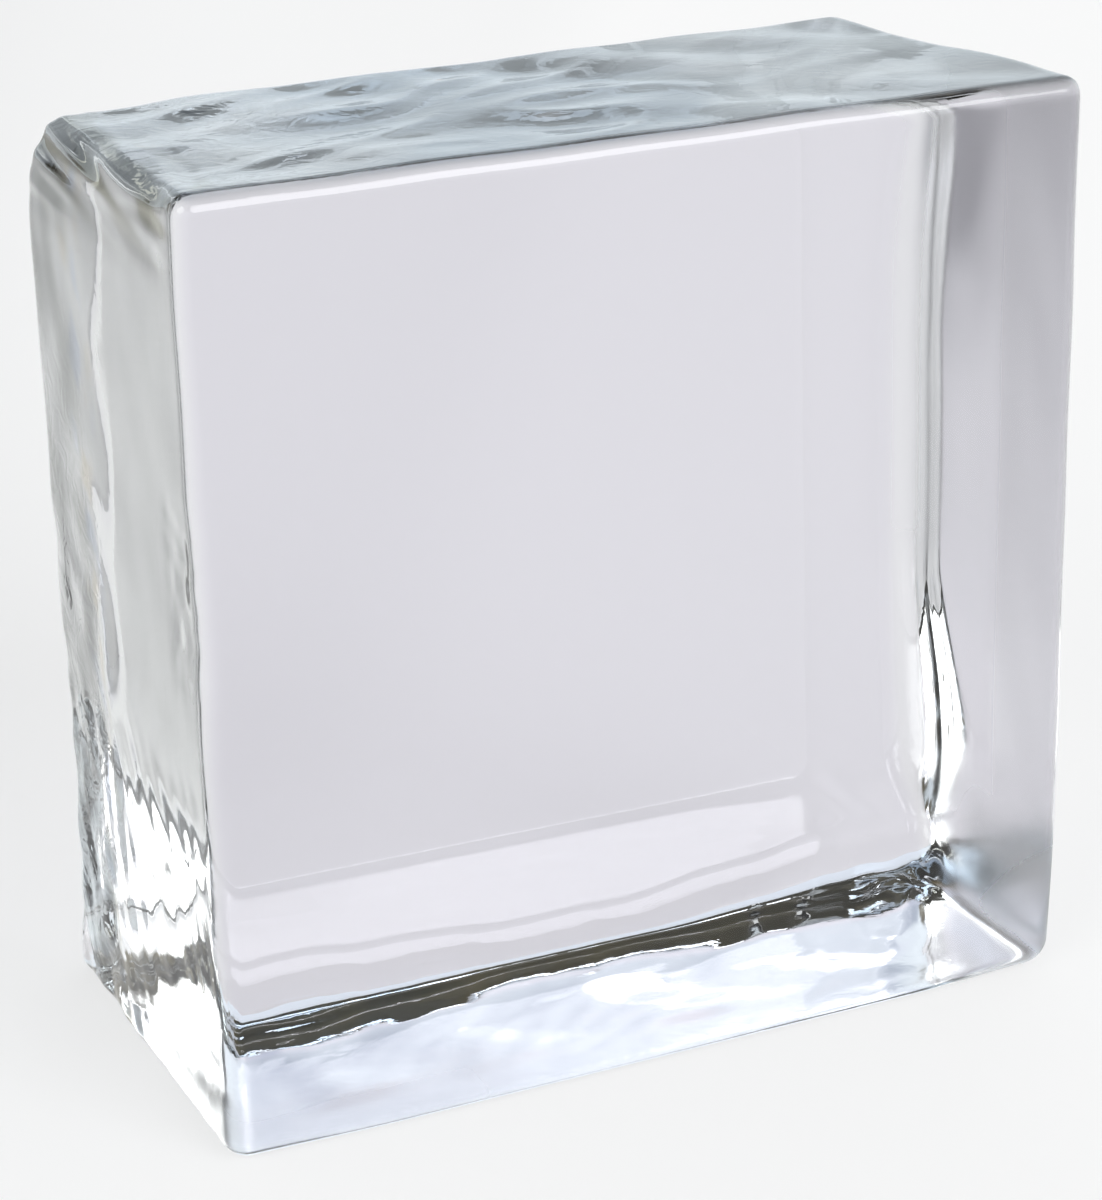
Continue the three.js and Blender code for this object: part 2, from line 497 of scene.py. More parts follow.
class BlockSurface:
    """Skin of the block: a grid on a sharp-edged box, moved out from a core to the rounded surface."""

    def __init__(self, sizes: BlockSizes, relief: MouldRelief) -> None:
        """Keep the sizes and the relief, and count the grid cells along each axis.

        Args:
            sizes: The block's driving sizes.
            relief: Its small ripples.
        """
        self.sizes = sizes
        self.relief = relief
        spans = (sizes.width, sizes.depth, sizes.front_height)
        self.face_steps = [math.ceil((span - 2 * sizes.core_inset) / sizes.facet_side) for span in spans]
        self.last_node = [steps + 2 * sizes.rim_steps for steps in self.face_steps]

    def top_height(self, y: np.ndarray) -> np.ndarray:
        """Height of the top side: a straight fall from the front height to the back height.

        Args:
            y: Depth coordinate.

        Returns:
            Height of the mean top plane there.
        """
        s = self.sizes
        return s.front_height - (y + s.depth / 2) / s.depth * (s.front_height - s.back_height)

    def foot_height(self, x: np.ndarray, y: np.ndarray) -> np.ndarray:
        """Height of the lower side: a flat rim to stand on, waves and ripples of growing depth inside it.

        Args:
            x: Width coordinate.
            y: Depth coordinate.

        Returns:
            Height of the lower side above the floor plane.
        """
        s, relief = self.sizes, self.relief
        inside = np.minimum(s.width / 2 - np.abs(x), s.depth / 2 - np.abs(y))
        wave = (s.foot_wave.height + s.foot_wave.at(x, y)) * s.foot_hollow_run.at(inside)
        ripple = relief.foot.field(x, y) * relief.foot_run.at(inside)
        return wave + ripple + s.foot_lift * s.foot_lift_right.at(x) * s.foot_lift_back.at(y)

    def right_sink(self, y: np.ndarray, z: np.ndarray) -> np.ndarray:
        """Sink of the right side: none in its front half, deepest half way up the back edge.

        Args:
            y: Depth coordinate.
            z: Height coordinate.

        Returns:
            How far the side lies inside its flat plane.
        """
        s = self.sizes
        return s.right_sink * s.right_sink_above.at(z) * s.right_sink_below.at(z) * s.right_sink_back.at(y)

    def back_radius(self, x: np.ndarray, z: np.ndarray) -> np.ndarray:
        """Radius of the back edges: straying by two sines, with a value of its own near each corner.

        Args:
            x: Width coordinate.
            z: Height coordinate.

        Returns:
            The radius near each point.
        """
        s = self.sizes
        turn = FULL_TURN / s.edge_wander_length
        stray = (np.sin(turn * (x - z)) + np.sin(s.edge_wander_ratio * turn * (x + z))) / 2
        radius = s.back_edge_radius + s.edge_wander * stray
        radius = radius + (s.left_top_radius - s.back_edge_radius) * self.near_corner(x, z, -1, s.back_height)
        radius = radius + (s.right_back_foot_radius - s.back_edge_radius) * self.near_corner(x, z, 1, 0.0)
        radius = between(radius, s.left_back_foot_radius, self.near_corner(x, z, -1, 0.0))
        upright = Rise(s.width / 2 - s.right_back_edge_reach, s.width / 2).at(x)
        upright = upright * s.right_back_edge_above.at(z) * s.right_back_edge_below.at(z)
        swollen = s.right_back_edge_radius + s.right_back_swell * s.right_back_swell_place.at(z)
        return between(radius, swollen, upright)

    def near_corner(self, x: np.ndarray, z: np.ndarray, side: int, height: float) -> np.ndarray:
        """Smooth step of nearness to a corner of the front outline.

        Args:
            x: Width coordinate.
            z: Height coordinate.
            side: 1 for a right corner, -1 for a left one.
            height: Height of the corner.

        Returns:
            1 at the corner, 0 beyond its reach.
        """
        s = self.sizes
        return smoothstep(1.0 - np.hypot(x - side * s.width / 2, z - height) / s.corner_reach)

    def edge_radius(self, x: np.ndarray, y: np.ndarray, z: np.ndarray) -> np.ndarray:
        """Radius of the rounded edges: an even run from the front's to the back's, small on the slack edge.

        Args:
            x: Width coordinate.
            y: Depth coordinate.
            z: Height coordinate.

        Returns:
            The radius near each point.
        """
        s = self.sizes
        right = (s.right_front_foot_radius - s.front_edge_radius) * self.near_corner(x, z, 1, 0.0)
        left = (s.left_front_foot_radius - s.front_edge_radius) * self.near_corner(x, z, -1, 0.0)
        back = Rise(-s.depth / 2, s.depth / 2).at(y)
        radius = between(s.front_edge_radius + right + left, self.back_radius(x, z), back)
        slack = s.slack_run.at(s.width / 2 - np.abs(x)) * s.slack_foot_below.at(z) * back
        return between(radius, s.slack_foot_radius, slack)

    def slack_side(self, x: np.ndarray, y: np.ndarray, z: np.ndarray) -> np.ndarray:
        """Distance outside the back side, which turns in to a slanting slack edge above the foot.

        The cut's depth is a cosine hump along the width with a quick flutter, a lean to the right and a
        ripple; the two planes meet in an arc.

        Args:
            x: Width coordinate.
            y: Depth coordinate.
            z: Height coordinate.

        Returns:
            One distance for each point.
        """
        s = self.sizes
        slant = math.radians(s.slack_slant)
        run = s.slack_run.at(s.width / 2 + x)
        hump = 0.5 - 0.5 * np.cos(FULL_TURN * (x - s.slack_middle) / s.slack_length)
        flutter = s.slack_flutter * np.sin(FULL_TURN * x / s.slack_flutter_length + s.slack_flutter_phase)
        cut = between(s.slack_least, s.slack_most, hump + flutter) + s.slack_lean * s.slack_lean_run.at(x)
        cut = (cut + self.relief.slack.field(x, z)) * run
        back = y - s.depth / 2
        bevel = back * math.cos(slant) - z * math.sin(slant) + cut
        radius = s.back_edge_radius * run + s.slack_least_radius
        within = np.minimum(np.maximum(back, bevel) + radius, 0.0)
        return within + np.hypot(np.maximum(back + radius, 0.0), np.maximum(bevel + radius, 0.0)) - radius

    def sides(self, point: np.ndarray) -> dict[Side, np.ndarray]:
        """Distance outside each of the six sides, negative inside.

        Args:
            point: Points as rows of x, y and z.

        Returns:
            One array of distances for each side.
        """
        s, relief = self.sizes, self.relief
        x, y, z = point.T
        slope = math.atan2(s.front_height - s.back_height, s.depth)
        calm = between(s.top_wave_edge, 1.0, s.top_wave_run.at(s.depth / 2 - np.abs(y)))
        front = -y - s.depth / 2
        left = -x - s.width / 2 - s.left_wave.at(z, y) + relief.left(y, z)
        top = (z - self.top_height(y)) * math.cos(slope) - calm * s.top_wave.at(x, y) + relief.top(x, y)
        right = x - s.width / 2 + self.right_sink(y, z) - s.right_wave.at(z, y) + relief.right.field(z, y)
        braid = relief.braid.field(y, x + z) * relief.braid_near.at(np.hypot(left, top))
        braid = braid * relief.braid_clear.at(front)
        return {
            Side.LEFT: left + braid,
            Side.RIGHT: right,
            Side.FRONT: front,
            Side.BACK: self.slack_side(x, y, z),
            Side.FOOT: self.foot_height(x, y) - z,
            Side.TOP: top + braid,
        }

    def distance_outside(self, point: np.ndarray) -> np.ndarray:
        """Distance outside six nearly flat sides that meet in rounded edges, negative inside.

        Args:
            point: Points as rows of x, y and z.

        Returns:
            One distance for each point.
        """
        side = self.sides(point)
        radius = self.edge_radius(*point.T)
        pairs = ((Side.LEFT, Side.RIGHT), (Side.FRONT, Side.BACK), (Side.FOOT, Side.TOP))
        beyond = np.stack([np.maximum(side[low], side[high]) for low, high in pairs]) + radius
        rounding = np.linalg.norm(np.maximum(beyond, 0.0), axis=0)
        return np.minimum(beyond.max(axis=0), 0.0) + rounding - radius

    def grid_line(self, node: np.ndarray, axis: Axis, low: np.ndarray, high: np.ndarray) -> np.ndarray:
        """Place of grid lines: even over a face, and the equal angles of an arc over its rounded ends.

        Args:
            node: Numbers of the grid lines.
            axis: The axis that they divide.
            low: Where the sharp box starts on that axis.
            high: Where it ends.

        Returns:
            The lines' coordinates.
        """
        inset, rim, steps = self.sizes.core_inset, self.sizes.rim_steps, self.face_steps[axis]
        start = np.clip(1 - node / rim, 0, None)
        end = np.clip((node - rim - steps) / rim, 0, None)
        face = np.clip((node - rim) / steps, 0, 1) * (high - low - 2 * inset)
        return low + inset + face + inset * (np.tan(math.pi / 4 * end) - np.tan(math.pi / 4 * start))

    def seat(self, nodes: np.ndarray) -> np.ndarray:
        """Move grid nodes from the core out to the surface, halving the stretch that the surface lies in.

        Args:
            nodes: Grid numbers along the three axes, one row for each node.

        Returns:
            The surface points, one row for each node.
        """
        s = self.sizes
        y = self.grid_line(nodes[:, Axis.DEPTH], Axis.DEPTH, -s.depth / 2, s.depth / 2)
        half_width, half_depth = np.full_like(y, s.width / 2), np.full_like(y, s.depth / 2)
        low = np.stack([-half_width, -half_depth, np.zeros_like(y)], axis=1)
        high = np.stack([half_width, half_depth, self.top_height(y)], axis=1)
        x, z = (
            self.grid_line(nodes[:, axis], axis, low[:, axis], high[:, axis])
            for axis in (Axis.WIDTH, Axis.HEIGHT)
        )
        sharp = np.stack([x, y, z], axis=1)
        core = np.clip(sharp, low + s.core_inset, high - s.core_inset)
        outward = sharp - core
        outward /= np.linalg.norm(outward, axis=1, keepdims=True)
        inner = np.zeros(len(nodes))
        outer = np.full(len(nodes), 2 * s.core_inset)
        for _ in range(s.seat_halvings):
            middle = (inner + outer) / 2
            inside = self.distance_outside(core + outward * middle[:, None]) < 0
            inner = np.where(inside, middle, inner)
            outer = np.where(inside, outer, middle)
        return core + outward * inner[:, None]

    def skin(self) -> tuple[np.ndarray, np.ndarray]:
        """Closed skin of the block: six grids whose common edges share their vertices.

        Returns:
            The surface points and the four corners of every cell.
        """
        grids = (
            (Axis.WIDTH, 0, Axis.HEIGHT, Axis.DEPTH),
            (Axis.WIDTH, 1, Axis.DEPTH, Axis.HEIGHT),
            (Axis.DEPTH, 0, Axis.WIDTH, Axis.HEIGHT),
            (Axis.DEPTH, 1, Axis.HEIGHT, Axis.WIDTH),
            (Axis.HEIGHT, 0, Axis.DEPTH, Axis.WIDTH),
            (Axis.HEIGHT, 1, Axis.WIDTH, Axis.DEPTH),
        )
        last = np.array(self.last_node)
        row, column = (last[Axis.DEPTH] + 1) * (last[Axis.HEIGHT] + 1), last[Axis.HEIGHT] + 1
        weights = np.array([row, column, 1])
        cells = []
        for axis, end, across, up in grids:
            i, j = np.meshgrid(np.arange(last[across]), np.arange(last[up]), indexing="ij")
            corners = []
            for step_i, step_j in ((0, 0), (1, 0), (1, 1), (0, 1)):
                nodes = np.zeros((i.size, len(Axis)), dtype=np.int64)
                nodes[:, axis] = end * last[axis]
                nodes[:, across] = (i + step_i).ravel()
                nodes[:, up] = (j + step_j).ravel()
                corners.append(nodes @ weights)
            cells.append(np.stack(corners, axis=1))
        used, quads = np.unique(np.concatenate(cells), return_inverse=True)
        nodes = np.stack([used // row, used % row // column, used % column], axis=1)
        return self.seat(nodes), quads.reshape(-1, 4)


def mesh_object(name: str, points: np.ndarray, faces: np.ndarray) -> bpy.types.Object:
    """Make a smooth mesh object at the origin from arrays.

    Args:
        name: Name of the object and its mesh.
        points: Vertices as rows of x, y and z.
        faces: Corner numbers, one row for each face.

    Returns:
        The linked object.
    """
    mesh = bpy.data.meshes.new(name)
    mesh.from_pydata(points.tolist(), [], faces.tolist())
    mesh.validate()
    mesh.polygons.foreach_set("use_smooth", np.ones(len(mesh.polygons), dtype=bool))
    mesh.update()
    piece = bpy.data.objects.new(name, mesh)
    bpy.context.scene.collection.objects.link(piece)
    return piece


@dataclass(frozen=True)
class SatinShares:
    """Roughness of the sides that are a little frosted, and where each frosting starts and is full."""

    skin: Rise = Rise(-0.0008, 0.0)
    right: float = 0.03
    right_front: float = 0.34
    right_back: Rise = Rise(-0.004, 0.014)
    foot: float = 0.10
    foot_clear: Rise = Rise(-0.012, -0.032)
    foot_front: float = 0.28
    foot_front_left: Rise = Rise(-0.010, -0.040)
    foot_front_depth: Rise = Rise(0.012, -0.008)
    corner: float = 0.30
    corner_near: Rise = Rise(0.0468, 0.0108)
    corner_clear: Rise = Rise(0.0, -0.012)
    corner_upright: Rise = Rise(-0.006, 0.0)
    corner_high: float = 0.55
    corner_high_above: Rise = Rise(0.010, 0.018)
    corner_high_front: Rise = Rise(0.030, 0.010)
    edge: float = 0.28
    edge_near: Rise = Rise(0.0208, 0.0048)
    edge_above: Rise = Rise(0.066, 0.086)

    def roughness(self, surface: BlockSurface, points: np.ndarray) -> np.ndarray:
        """Roughness at points of the skin: the greatest of four frostings, each a product of smooth steps.

        Args:
            surface: The block's surface.
            points: Points of the skin, as rows of x, y, z.

        Returns:
            One roughness for each point.
        """
        side = surface.sides(points)
        x, y, z = points.T
        right = self.skin.at(side[Side.RIGHT]) * between(self.right_front, self.right, self.right_back.at(y))
        front_left = self.foot_front_left.at(x) * self.foot_front_depth.at(y)
        foot = self.skin.at(side[Side.FOOT]) * self.foot_clear.at(side[Side.BACK])
        foot = foot * between(self.foot, self.foot_front, front_left)
        corner = self.corner_near.at(np.hypot(side[Side.RIGHT], side[Side.FOOT]))
        corner = corner * self.corner_clear.at(side[Side.BACK])
        corner = corner * self.corner_upright.at(side[Side.RIGHT] - side[Side.FOOT])
        high = self.corner_high_above.at(z) * self.corner_high_front.at(y)
        corner = corner * between(self.corner, self.corner_high, high)
        edge = self.edge_near.at(np.hypot(side[Side.RIGHT], side[Side.BACK])) * self.edge_above.at(z)
        return np.maximum(np.maximum(right, foot), np.maximum(corner, self.edge * edge))


@dataclass(frozen=True)
class ChillShares:
    """How deep the fine creases are on each side."""

    skin: Rise = Rise(-0.004, 0.0)
    top: float = 0.35
    top_end: float = 0.45
    top_end_left: Rise = Rise(-0.04, -0.07)
    left: float = 0.08
    left_rough: float = 1.0
    left_rough_back: Rise = Rise(0.006, 0.020)
    left_rough_below: Rise = Rise(0.165, 0.105)
    foot: float = 0.20
    right: float = 0.06

    def depths(self, surface: BlockSurface, points: np.ndarray) -> np.ndarray:
        """Share of the full crease depth at points of the skin: none on the two polished faces.

        Args:
            surface: The block's surface.
            points: Points of the skin, as rows of x, y, z.

        Returns:
            One share for each point.
        """
        x, y, z = points.T
        near = {name: self.skin.at(distance) for name, distance in surface.sides(points).items()}
        rough = self.left_rough_back.at(y) * self.left_rough_below.at(z)
        left = near[Side.LEFT] * between(self.left, self.left_rough, rough)
        top = near[Side.TOP] * (self.top + self.top_end * self.top_end_left.at(x))
        return left + top + near[Side.FOOT] * self.foot + near[Side.RIGHT] * self.right


@dataclass(frozen=True)
class FaceTones:
    """Colours of the faces: a faint cast on the two polished ones, painted shade on the top and its braided
    edge, darker grey mottles on the back of the rough left side, and painted rainbow glints in a band along
    it.
    """

    skin: Rise = Rise(-0.002, 0.0)
    polished: Color = (0.82, 0.80, 0.86)
    # Painted shade: the top's dark blue-grey, deeper in pools and across its middle.
    top: Color = (0.20, 0.240, 0.300)
    top_shade_pools: Ripple = Ripple(1.0, 0.034, 0.022, 10.0, 53)
    top_shade_pool_tone: Rise = Rise(0.3, 0.7)
    top_shade_pool_share: float = 0.18
    top_least_share: float = 0.75
    top_middle_shade: Hump = Hump(-0.010, 0.065)
    top_middle_shade_share: float = 0.40
    top_most_share: float = 1.12
    # Painted shade: dark olive strands along the rounded edge of the left side and the top.
    braid: Color = (0.26, 0.25, 0.17)
    braid_shade_strands: Ripple = Ripple(1.0, 0.030, 0.0050, 6.0, 30)
    braid_shade_tone: Rise = Rise(0.40, 0.65)
    braid_near: Rise = Rise(0.0195, 0.0045)
    braid_clear: Rise = Rise(-0.0012, -0.0072)
    # Darker grey mottles on the back part of the left side.
    left_grey: Color = (0.50, 0.51, 0.49)
    left_grey_mottles: Ripple = Ripple(1.0, 0.0220, 0.0100, 8.0, 17)
    left_grey_tone: Rise = Rise(0.225, 0.725)
    left_grey_back: Rise = Rise(0.010, 0.022)
    # Painted rainbow glints: warm and cool specks in a band along the left side.
    warm_glint: Color = (1.0, 0.89, 0.70)
    cool_glint: Color = (0.74, 0.82, 1.0)
    rainbow_glints: Ripple = Ripple(1.0, 0.0120, 0.0060, 8.0, 37)
    warm_glint_tone: Rise = Rise(0.60, 0.72)
    cool_glint_tone: Rise = Rise(0.40, 0.28)
    glint_line: Hump = Hump(0.016, 0.012)

    def colors(self, surface: BlockSurface, points: np.ndarray) -> np.ndarray:
        """Colour at points of the skin, painted shade and painted glints included: the product of layers,
        each as strong as its share there.

        Args:
            surface: The block's surface.
            points: Points of the skin, as rows of x, y, z.

        Returns:
            Rows of red, green, blue and a full alpha.
        """
        side = surface.sides(points)
        x, y, z = points.T
        # Painted shade on the top: deeper in pools and across its middle.
        shade_pools = self.top_shade_pool_share * self.top_shade_pool_tone.at(self.top_shade_pools.field(x, y))
        cast = self.top_least_share + shade_pools + self.top_middle_shade_share * self.top_middle_shade.at(x)
        # Painted shade in strands along the braided edge, clear of the front and back.
        shade_strands = self.braid_near.at(np.hypot(side[Side.LEFT], side[Side.TOP]))
        shade_strands = shade_strands * self.braid_clear.at(side[Side.FRONT]) * self.braid_clear.at(side[Side.BACK])
        left = self.skin.at(side[Side.LEFT])
        # Painted rainbow glints in a band along the left side.
        rainbow_glints = self.rainbow_glints.field(z, y)
        line = left * self.glint_line.at(y)
        layers = (
            (self.skin.at(side[Side.FRONT]), self.polished),
            (self.skin.at(side[Side.BACK]), self.polished),
            (self.skin.at(side[Side.TOP]) * np.minimum(cast, self.top_most_share), self.top),
            (shade_strands * self.braid_shade_tone.at(self.braid_shade_strands.field(y, x + z)), self.braid),
            (left * self.left_grey_back.at(y) * self.left_grey_tone.at(self.left_grey_mottles.field(z, y)), self.left_grey),
            (line * self.warm_glint_tone.at(rainbow_glints), self.warm_glint),
            (line * self.cool_glint_tone.at(rainbow_glints), self.cool_glint),
        )
        tint = np.ones((len(points), 3))
        for share, color in layers:
            tint = tint * between(1.0, np.array(color), share[:, None])
        return np.concatenate([tint, np.ones((len(points), 1))], axis=1)


# ---- the glass ----


@dataclass(frozen=True)
class ClearGlass:
    """Clear soda-lime glass with a chilled, creased skin."""

    ior: float = 1.52
    absorption_color: Color = (0.85, 0.87, 0.86)
    absorption_density: float = 4.0
    crease_scale: float = 170.0
    crease_detail: float = 2.0
    crease_roughness: float = 0.45
    crease_twist: float = 0.6
    crease_depth: float = 0.00030

    def creases(self, graph: Graph) -> bpy.types.NodeSocket:
        """Fine creases of the chilled skin: noise folded at its middle, times the skin's own chill value.

        Args:
            graph: The glass's own graph.

        Returns:
            The bumped normal.
        """
        place = graph.node("ShaderNodeTexCoord", {}, {}).outputs["Object"]
        chill = graph.signal("ShaderNodeAttribute", "Fac", {"attribute_name": SkinValue.CHILL.value}, {})
        noise = {
            "Vector": place,
            "Scale": self.crease_scale,
            "Detail": self.crease_detail,
            "Roughness": self.crease_roughness,
            "Distortion": self.crease_twist,
        }
        folded = (graph.signal("ShaderNodeTexNoise", "Fac", {}, noise) - 0.5).math("ABSOLUTE")
        inputs = {"Height": folded * chill, "Strength": 1.0, "Distance": self.crease_depth}
        return graph.node("ShaderNodeBump", {}, inputs).outputs["Normal"]

    def material(self) -> bpy.types.Material:
        """Build the glass: a clear skin with the casts of its faces, painted shade and painted glints among
        them, around a nearly colourless body.

        Returns:
            The material.
        """
        material = bpy.data.materials.new("clear_glass")
        graph = Graph(material)
        # The tone carries the faces' casts, with painted shade and painted glints.
        tone = graph.node("ShaderNodeAttribute", {"attribute_name": SkinValue.TONE.value}, {})
        satin = graph.signal("ShaderNodeAttribute", "Fac", {"attribute_name": SkinValue.SATIN.value}, {})
        skin = {
            "Base Color": tone.outputs["Color"],
            "Normal": self.creases(graph),
            "Roughness": satin,
            "IOR": self.ior,
            "Transmission Weight": 1.0,
        }
        body = {"Color": opaque(self.absorption_color), "Density": self.absorption_density}
        surface = graph.node("ShaderNodeBsdfPrincipled", {}, skin).outputs["BSDF"]
        volume = graph.node("ShaderNodeVolumeAbsorption", {}, body).outputs["Volume"]
        graph.node("ShaderNodeOutputMaterial", {}, {"Surface": surface, "Volume": volume})
        return material


# ---- the block ----


@dataclass(frozen=True)
class GlassBlock:
    """The cast block: its sizes and relief, the values that its skin carries, and its glass."""

    sizes: BlockSizes = BlockSizes()
    relief: MouldRelief = MouldRelief()
    satin: SatinShares = SatinShares()
    chill: ChillShares = ChillShares()
    tones: FaceTones = FaceTones()
    glass: ClearGlass = ClearGlass()

    def dress(self, block: bpy.types.Object, surface: BlockSurface, points: np.ndarray) -> None:
        """Give the skin's points their roughness, crease depth and cast, with its painted shade and painted
        glints, and the block its glass.

        Args:
            block: The block's object.
            surface: Its surface.
            points: Points of the skin, as rows of x, y, z.
        """
        values = block.data.attributes
        satin = values.new(SkinValue.SATIN.value, "FLOAT", "POINT")
        satin.data.foreach_set("value", self.satin.roughness(surface, points))
        chill = values.new(SkinValue.CHILL.value, "FLOAT", "POINT")
        chill.data.foreach_set("value", self.chill.depths(surface, points))
        # The tone holds the faces' casts, with painted shade and painted glints.
        tone = values.new(SkinValue.TONE.value, "FLOAT_COLOR", "POINT")
        tone.data.foreach_set("color", self.tones.colors(surface, points).ravel())
        block.data.materials.append(self.glass.material())

    def build(self) -> bpy.types.Object:
        """Make the block's skin, dress it and let it stand for the construction model's node.

        Returns:
            The block's object.
        """
        surface = BlockSurface(self.sizes, self.relief)
        points, quads = surface.skin()
        block = mesh_object("glass_block_skin", points, quads)
        self.dress(block, surface, points)
        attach(block, "root")
        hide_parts("glass_block")
        return block


# ---- camera ----


@dataclass(frozen=True)
class ViewCamera:
    """Camera to the left of the front face, looking down on the block."""

    place: tuple[float, float, float] = (-0.28508, -0.62384, 0.35590)
    yaw: float = 0.42703
    pitch: float = 0.37527
    roll: float = -0.021767
    focal_pixels: float = 3525.05
    image_long_side: float = 1200.0
    sensor_width: float = 36.0

    def build(self) -> bpy.types.Object:
        """Add the camera and make it the scene's own.

        Returns:
            The camera object.
        """
        data = bpy.data.cameras.new("view_camera")
        data.sensor_width = self.sensor_width
        data.lens = self.focal_pixels / self.image_long_side * self.sensor_width
        forward = Vector((
            math.sin(self.yaw) * math.cos(self.pitch),
            math.cos(self.yaw) * math.cos(self.pitch),
            -math.sin(self.pitch),
        ))
        level = Vector((math.cos(self.yaw), -math.sin(self.yaw), 0.0))
        upright = level.cross(forward)
        right = math.cos(self.roll) * level + math.sin(self.roll) * upright
        up = math.cos(self.roll) * upright - math.sin(self.roll) * level
        camera = bpy.data.objects.new("view_camera", data)
        turn = Matrix((right, up, -forward)).transposed().to_4x4()
        camera.matrix_world = Matrix.Translation(self.place) @ turn
        bpy.context.scene.collection.objects.link(camera)
        bpy.context.scene.camera = camera
        return camera


# ---- studio ----


def heading(azimuth: float, elevation: float) -> Heading:
    """Unit vector of a direction in the studio.

    Args:
        azimuth: Degrees from +Y, turning towards +X.
        elevation: Degrees above the horizon.

    Returns:
        The vector's x, y and z.
    """
    turn, rise = math.radians(azimuth), math.radians(elevation)
    return (math.sin(turn) * math.cos(rise), math.cos(turn) * math.cos(rise), math.sin(rise))


@dataclass(frozen=True)
class Reach:
    """Part of the surroundings: a heading, and the cosines to it at which the part starts and is full."""

    azimuth: float
    elevation: float
    start: float
    full: float


@dataclass(frozen=True)
class Field:
    """Round field of the surroundings, a bright window or a dark screen: middle, radii in degrees, light."""

    azimuth: float
    elevation: float
    full_radius: float
    faded_radius: float
    color: Color

    @property
    def reach(self) -> Reach:
        """The field's reach: from the cosine of its faded radius to that of its full one."""
        start, full = (math.cos(math.radians(radius)) for radius in (self.faded_radius, self.full_radius))
        return Reach(self.azimuth, self.elevation, start, full)


@dataclass(frozen=True)
class Surroundings:
    """Soft light from all around: walls, a backdrop behind, a dark ceiling in front, windows and screens."""

    wall: Color = (1.19, 1.20, 1.25)
    dim_wall: Color = (0.74, 0.80, 0.92)
    dim_wall_left: Reach = Reach(110.0, 0.0, 0.13, -0.04)
    dim_wall_back: Reach = Reach(25.0, 0.0, 0.10, 0.60)
    backdrop: Color = (0.54, 0.61, 0.71)
    backdrop_light: Color = (0.98, 1.08, 1.14)
    backdrop_lit_right: Reach = Reach(115.0, 0.0, -0.20, 0.08)
    backdrop_lit_left: Reach = Reach(115.0, 0.0, -0.26, -0.42)
    backdrop_lit_low: Reach = Reach(0.0, 90.0, 0.47, 0.39)
    backdrop_below: Reach = Reach(0.0, 90.0, 0.75, 0.60)
    backdrop_back: Reach = Reach(25.0, 0.0, 0.15, 0.75)
    ceiling: Color = (0.148, 0.119, 0.052)
    ceiling_above: Reach = Reach(0.0, 90.0, 0.60, 0.67)
    ceiling_front: Reach = Reach(25.0, 0.0, 0.60, 0.15)
    ceiling_dark: Color = (0.035, 0.030, 0.014)
    ceiling_dark_corner: Reach = Reach(-150.0, 45.0, 0.45, 0.90)
    fields: tuple[Field, ...] = (
        Field(158.0, 25.0, 10.0, 22.0, (2.45, 2.5, 2.55)),
        Field(30.0, 24.0, 1.5, 5.5, (2.0, 2.1, 2.2)),
        Field(-116.0, 29.0, 15.0, 20.0, (3.6, 3.7, 3.6)),
        Field(-32.0, 8.0, 11.0, 14.5, (0.13, 0.113, 0.070)),
        Field(-12.0, 34.0, 9.0, 13.0, (0.13, 0.113, 0.070)),
        Field(-155.0, 35.0, 9.0, 13.0, (0.13, 0.113, 0.070)),
    )

    def build(self) -> None:
        """Make the world's light a function of direction: its parts laid over each other by smooth steps."""
        world = bpy.data.worlds.new("studio_world")
        bpy.context.scene.world = world
        graph = Graph(world)
        direction = graph.node("ShaderNodeTexCoord", {}, {}).outputs["Generated"]

        def share(part: Reach) -> Signal:
            """Smooth step of the cosine between the looked-up direction and the part's heading."""
            cosine = graph.along(direction, heading(part.azimuth, part.elevation))
            return cosine.ramp(part.start, part.full)

        color = graph.mix(share(self.dim_wall_left) * share(self.dim_wall_back), self.wall, self.dim_wall)
        lit = share(self.backdrop_lit_right).most(share(self.backdrop_lit_left))
        lit = lit.most(share(self.backdrop_lit_low))
        backdrop = graph.mix(lit, self.backdrop, self.backdrop_light)
        color = graph.mix(share(self.backdrop_below) * share(self.backdrop_back), color, backdrop)
        ceiling = graph.mix(share(self.ceiling_dark_corner), self.ceiling, self.ceiling_dark)
        color = graph.mix(share(self.ceiling_above) * share(self.ceiling_front), color, ceiling)
        for field in self.fields:
            color = graph.mix(share(field.reach), color, field.color)
        background = graph.node("ShaderNodeBackground", {}, {"Color": color, "Strength": 1.0})
        graph.node("ShaderNodeOutputWorld", {}, {"Surface": background.outputs["Background"]})


@dataclass(frozen=True)
class Shade:
    """One dimmer part of the floor: two headings, where along each it starts and is full, and its depth."""

    azimuth: float
    start: float
    full: float
    depth: float
    across: float
    across_start: float
    across_full: float


